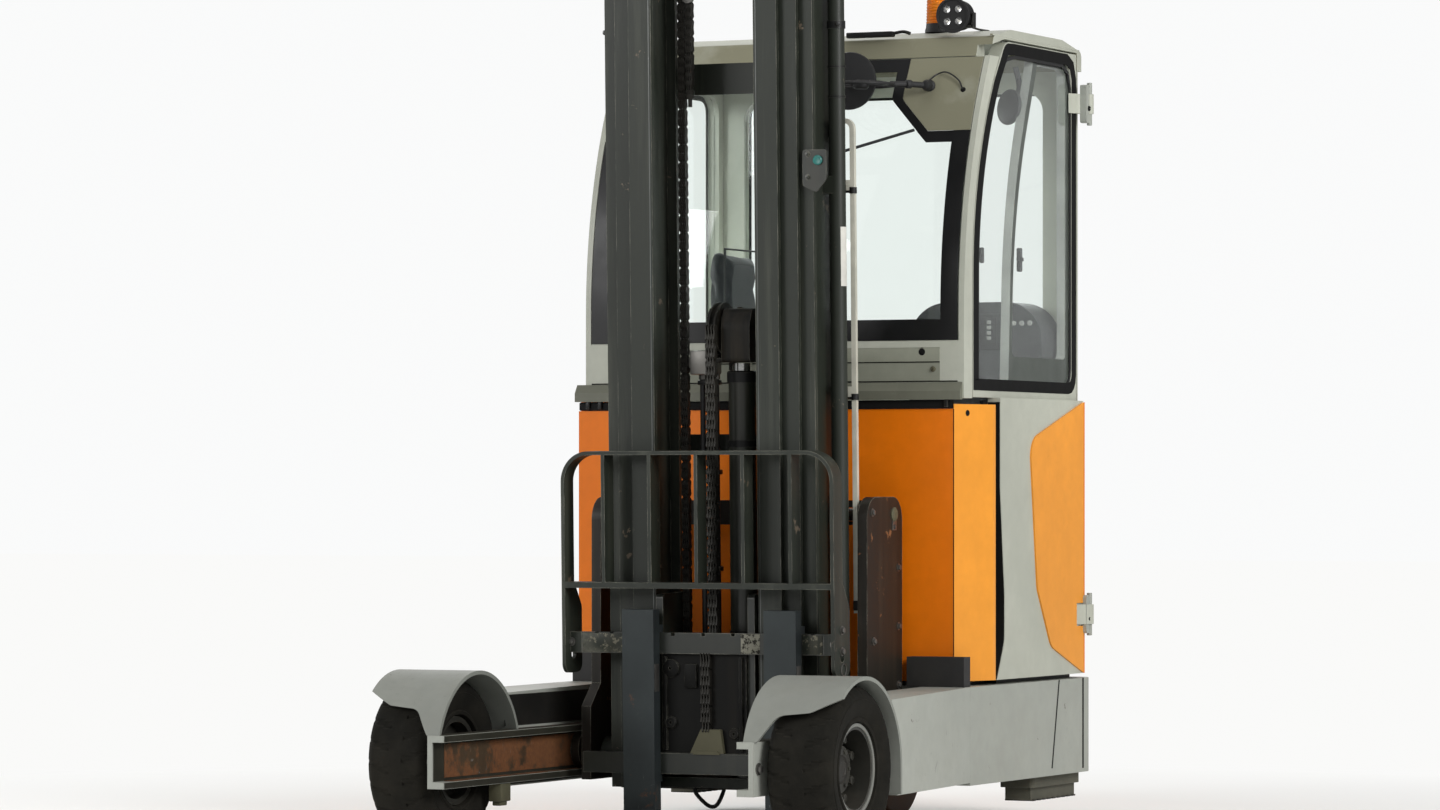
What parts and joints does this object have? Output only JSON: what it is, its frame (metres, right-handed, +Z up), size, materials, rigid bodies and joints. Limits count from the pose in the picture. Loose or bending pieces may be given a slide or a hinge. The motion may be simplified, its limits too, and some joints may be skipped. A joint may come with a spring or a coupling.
{
  "type": "reach truck",
  "caption": "Electric reach truck with an enclosed cab, large solid rubber load wheels, a triple mast, a load guard and forks.",
  "frame": {"origin": "on the floor under the middle of the truck's length and width, forks included", "axes": "+Z up, forks towards -Y, the driver's door on +X"},
  "size_m": [1.446, 2.6065, 2.8213],
  "materials": {
    "truck_grey": "satin",
    "cab_beige": "satin",
    "truck_orange": "satin",
    "mast_paint": "satin",
    "fork_steel": "worn satin",
    "bare_steel": "brushed",
    "chromed_rod": "polished",
    "black_steel": "satin",
    "pipe_steel": "satin",
    "tyre": "matte",
    "wheel_paint": "satin",
    "drive_tread": "matte",
    "pad_rubber": "matte",
    "battery_case": "matte",
    "glass": "clear",
    "black_plastic": "grained",
    "seat_fabric": "woven",
    "amber_lens": "gloss"
  },
  "bodies": {
    "chassis": {"load_arms": "truck_grey", "wheel_guards": "truck_grey", "leg_boxes": "truck_grey", "foot_plates": "pad_rubber", "chassis": "truck_grey", "battery": "battery_case", "front_cover": "truck_orange", "corner_panel": "truck_orange", "left_side_panel": "truck_orange", "rear_hood": "truck_orange", "corner_bumpers": "black_plastic", "cab_floor": "black_steel", "battery_hood": "black_plastic", "cab_frame": "cab_beige", "cab_roof": "cab_beige", "windscreen": "glass", "lamp_plate": "black_steel", "cab_windows": "glass", "front_sheet": "cab_beige", "ledge": "cab_beige", "door_hinges": "black_steel", "seat_base": "black_plastic", "seat_cushion": "seat_fabric", "seat_backrest": "seat_fabric", "headrest": "seat_fabric", "console": "black_plastic", "steering_pod": "black_plastic", "steering_wheel": "black_plastic", "beacon": "amber_lens", "spotlight": "black_plastic", "guarded_lamp": "black_plastic"},
    "load_wheel_left": {"load_tyre_left": "tyre", "load_rim_left": "wheel_paint"},
    "load_wheel_right": {"load_tyre_right": "tyre", "load_rim_right": "wheel_paint"},
    "drive_unit": {"drive_leg": "black_steel"},
    "drive_wheel": {"drive_tyre": "drive_tread", "drive_hub": "bare_steel"},
    "cab_door": {"door": "cab_beige", "door_glass": "glass", "door_insert": "truck_orange", "door_window_frame": "cab_beige"},
    "reach_carriage": {"reach_frame": "truck_grey", "tilt_cylinders": "black_steel"},
    "tilt_rods": {"tilt_rods": "chromed_rod"},
    "mast_outer": {"outer_mast": "mast_paint", "lift_cylinders": "mast_paint", "hydraulic_pipe": "pipe_steel"},
    "mast_middle": {"middle_mast": "mast_paint", "lift_rods": "chromed_rod"},
    "mast_inner": {"inner_mast": "mast_paint", "free_lift_cylinder": "mast_paint"},
    "lift_head": {"lift_head": "mast_paint"},
    "fork_carriage": {"fork_carriage": "mast_paint", "load_guard": "mast_paint", "fork_left": "fork_steel", "fork_right": "fork_steel"}
  },
  "joints": [
    {"name": "load_wheel_left_roll", "type": "hinge", "parent": "chassis", "child": "load_wheel_left", "pos_m": [0.616, -0.64843, 0.229], "axis": [1, 0, 0], "continuous": true},
    {"name": "load_wheel_right_roll", "type": "hinge", "parent": "chassis", "child": "load_wheel_right", "pos_m": [-0.616, -0.64843, 0.229], "axis": [1, 0, 0], "continuous": true},
    {"name": "steering", "type": "hinge", "parent": "chassis", "child": "drive_unit", "pos_m": [0.09, 0.91157, 0.38], "axis": [0, 0, 1], "range_deg": [-90, 90]},
    {"name": "drive_wheel_roll", "type": "hinge", "parent": "drive_unit", "child": "drive_wheel", "pos_m": [0.09, 0.91157, 0.18], "axis": [1, 0, 0], "continuous": true},
    {"name": "cab_door_swing", "type": "hinge", "parent": "chassis", "child": "cab_door", "pos_m": [0.648, 1.23357, 1.4], "axis": [0, 0, 1], "range_deg": [0, 95]},
    {"name": "reach", "type": "slide", "parent": "chassis", "child": "reach_carriage", "axis": [0, -1, 0], "range_m": [0, 0.56]},
    {"name": "mast_tilt", "type": "hinge", "parent": "reach_carriage", "child": "mast_outer", "pos_m": [0, 0.03557, 0.225], "axis": [1, 0, 0], "range_deg": [-4.3, 0.7]},
    {"name": "tilt_rod_slide", "type": "slide", "parent": "reach_carriage", "child": "tilt_rods", "axis": [0, -1, 0], "range_m": [-0.053, 0.009]},
    {"name": "mast_lift", "type": "slide", "parent": "mast_outer", "child": "mast_middle", "axis": [0, -0.0227, 0.9997], "range_m": [0, 2.2]},
    {"name": "inner_mast_lift", "type": "slide", "parent": "mast_middle", "child": "mast_inner", "axis": [0, -0.0227, 0.9997], "range_m": [0, 2.2]},
    {"name": "carriage_lift", "type": "slide", "parent": "mast_inner", "child": "fork_carriage", "axis": [0, -0.0227, 0.9997], "range_m": [0, 1.95]},
    {"name": "lift_head_slide", "type": "slide", "parent": "mast_inner", "child": "lift_head", "axis": [0, -0.0227, 0.9997], "range_m": [0, 0.975]}
  ],
  "couplings": [
    {"joint": "tilt_rod_slide", "follows": "mast_tilt", "m_per_rad": 0.698},
    {"joint": "inner_mast_lift", "follows": "mast_lift", "ratio": 1},
    {"joint": "lift_head_slide", "follows": "carriage_lift", "ratio": 0.5}
  ]
}
